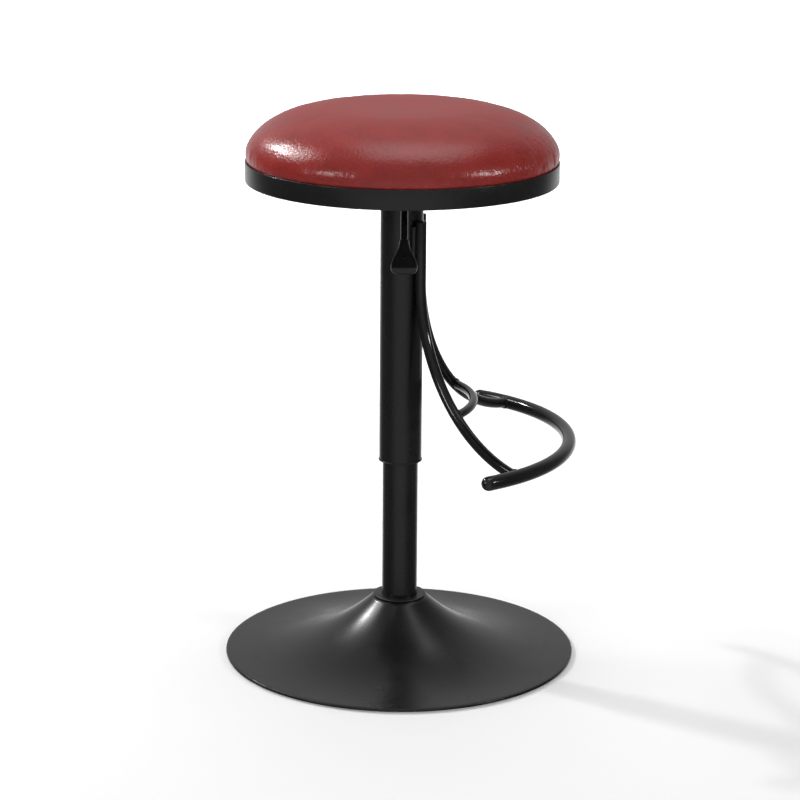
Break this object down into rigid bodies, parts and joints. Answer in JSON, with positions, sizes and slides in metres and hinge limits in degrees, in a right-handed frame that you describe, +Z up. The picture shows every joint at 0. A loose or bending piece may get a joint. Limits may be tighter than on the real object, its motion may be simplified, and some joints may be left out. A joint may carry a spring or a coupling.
{
  "type": "swivel stool",
  "caption": "Round padded stool on a trumpet base, with a gas lift, a continuous swivel, a height lever and a curved footrest that moves with the seat.",
  "frame": {"origin": "centre of the base on the floor, under the column's axis", "axes": "+Z up along the column, +X towards the footrest, -Y towards the height lever, which a sitter facing +X has on the right"},
  "size_m": [0.4, 0.4, 0.6352],
  "materials": {
    "black_powder_coat": "satin",
    "clear_plastic": "satin",
    "cast_ballast": "matte",
    "plain_steel": "satin",
    "zinc_steel": "satin",
    "polished_rod": "polished",
    "brass_cage": "satin",
    "black_plastic": "satin",
    "black_rubber": "matte",
    "plywood": "matte",
    "foam": "matte",
    "oxblood_leather": "satin"
  },
  "bodies": {
    "base": {"base_cover": "black_powder_coat", "floor_ring": "clear_plastic", "ballast_disc": "cast_ballast", "column_tube": "black_powder_coat", "column_flange": "plain_steel", "column_floor": "plain_steel", "flange_bolts": "zinc_steel", "flange_washers": "zinc_steel", "flange_nuts": "zinc_steel", "neck_bush": "black_plastic", "column_guide_bush": "black_plastic", "bearing_lower_race": "zinc_steel"},
    "piston_rod_group": {"bearing_upper_race": "zinc_steel", "bearing_cage": "brass_cage", "bearing_balls": "zinc_steel", "piston_rod": "polished_rod", "rod_washer": "zinc_steel", "rod_clip": "zinc_steel", "bump_stop": "black_rubber", "piston": "zinc_steel", "piston_seal": "black_rubber"},
    "seat": {"gas_cylinder": "plain_steel", "cylinder_end_plug": "zinc_steel", "rod_seal": "black_rubber", "valve_block": "zinc_steel", "upper_tube": "black_powder_coat", "upper_tube_guide_ring": "black_plastic", "taper_socket": "plain_steel", "seat_plate": "black_powder_coat", "lever_bracket": "black_powder_coat", "lever_pin": "zinc_steel", "seat_board": "plywood", "seat_foam": "foam", "seat_cover": "oxblood_leather", "seat_rim": "black_powder_coat", "seat_plate_screws": "zinc_steel", "t_nuts": "zinc_steel", "rim_screws": "zinc_steel", "foot_bar": "black_powder_coat", "foot_bar_end_caps": "black_plastic", "footrest_arm_left": "black_powder_coat", "footrest_arm_right": "black_powder_coat", "footrest_brace": "black_powder_coat"},
    "lever": {"lever_rod": "black_powder_coat", "lever_grip": "black_plastic"},
    "valve": {"valve_button": "zinc_steel"}
  },
  "joints": [
    {"name": "swivel", "type": "hinge", "parent": "base", "child": "piston_rod_group", "pos_m": [0, 0, 0], "axis": [0, 0, 1], "continuous": true},
    {"name": "lift", "type": "slide", "parent": "piston_rod_group", "child": "seat", "axis": [0, 0, 1], "range_m": [0, 0.2]},
    {"name": "lever_pull", "type": "hinge", "parent": "seat", "child": "lever", "pos_m": [0.0025, -0.034, 0.5363], "axis": [-1, 0, 0], "range_deg": [0, 6], "stiffness_Nm_per_rad": 2, "springref_deg": -5.73},
    {"name": "valve_press", "type": "slide", "parent": "seat", "child": "valve", "axis": [0, 0, -1], "range_m": [0, 0.0037]}
  ],
  "couplings": [
    {"joint": "valve_press", "follows": "lever_pull", "m_per_rad": 0.034}
  ]
}
